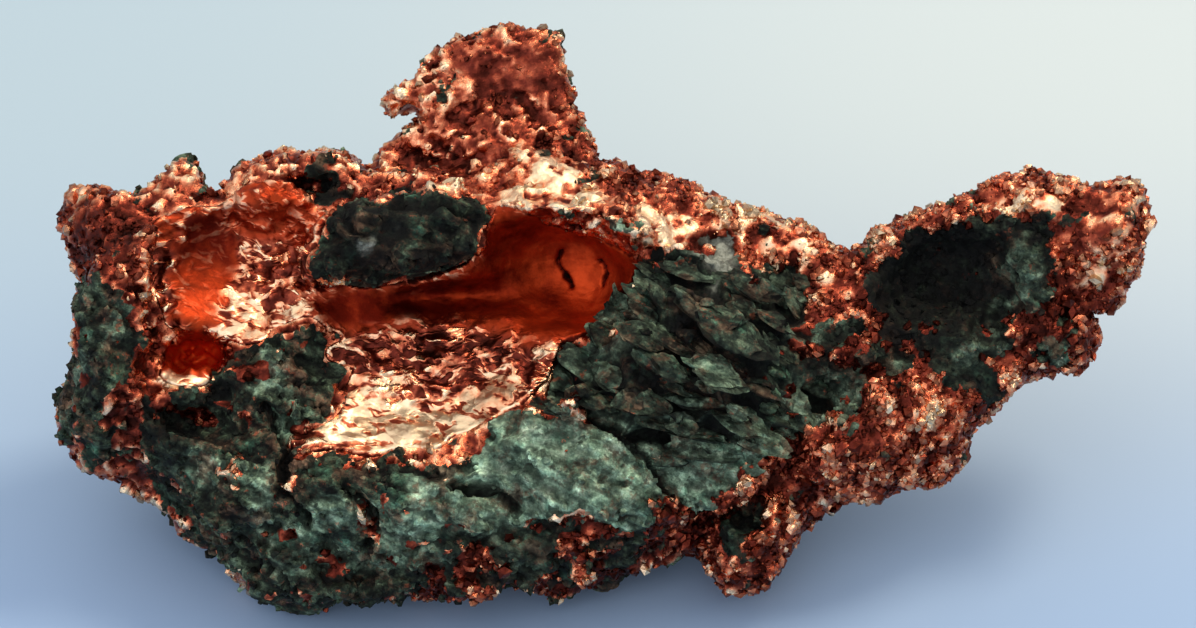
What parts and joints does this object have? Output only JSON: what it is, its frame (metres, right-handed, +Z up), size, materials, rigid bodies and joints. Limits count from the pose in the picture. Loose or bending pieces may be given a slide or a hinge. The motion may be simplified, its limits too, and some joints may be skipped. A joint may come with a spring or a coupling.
{
  "type": "native copper nugget",
  "caption": "Jagged nugget of native copper with a tall fin, a wing, deep hollows lined with crumpled copper, and green rock grown into its face.",
  "frame": {"origin": "centre of the bounding box in plan, on the ground the nugget rests on", "axes": "+X along the nugget's length from the thick end to the wing tip, +Z up, and the broad hollowed face looks along -Y and up"},
  "size_m": [0.0652, 0.0282, 0.0261],
  "materials": {
    "native_copper": "bare native copper, crumbled and crumpled, tarnished brown and maroon away from its bright edges",
    "green_rock": "dull dark green foliated rock with a paler chalky green crust"
  },
  "bodies": {
    "root": {"copper_nugget": "native_copper"}
  },
  "joints": []
}
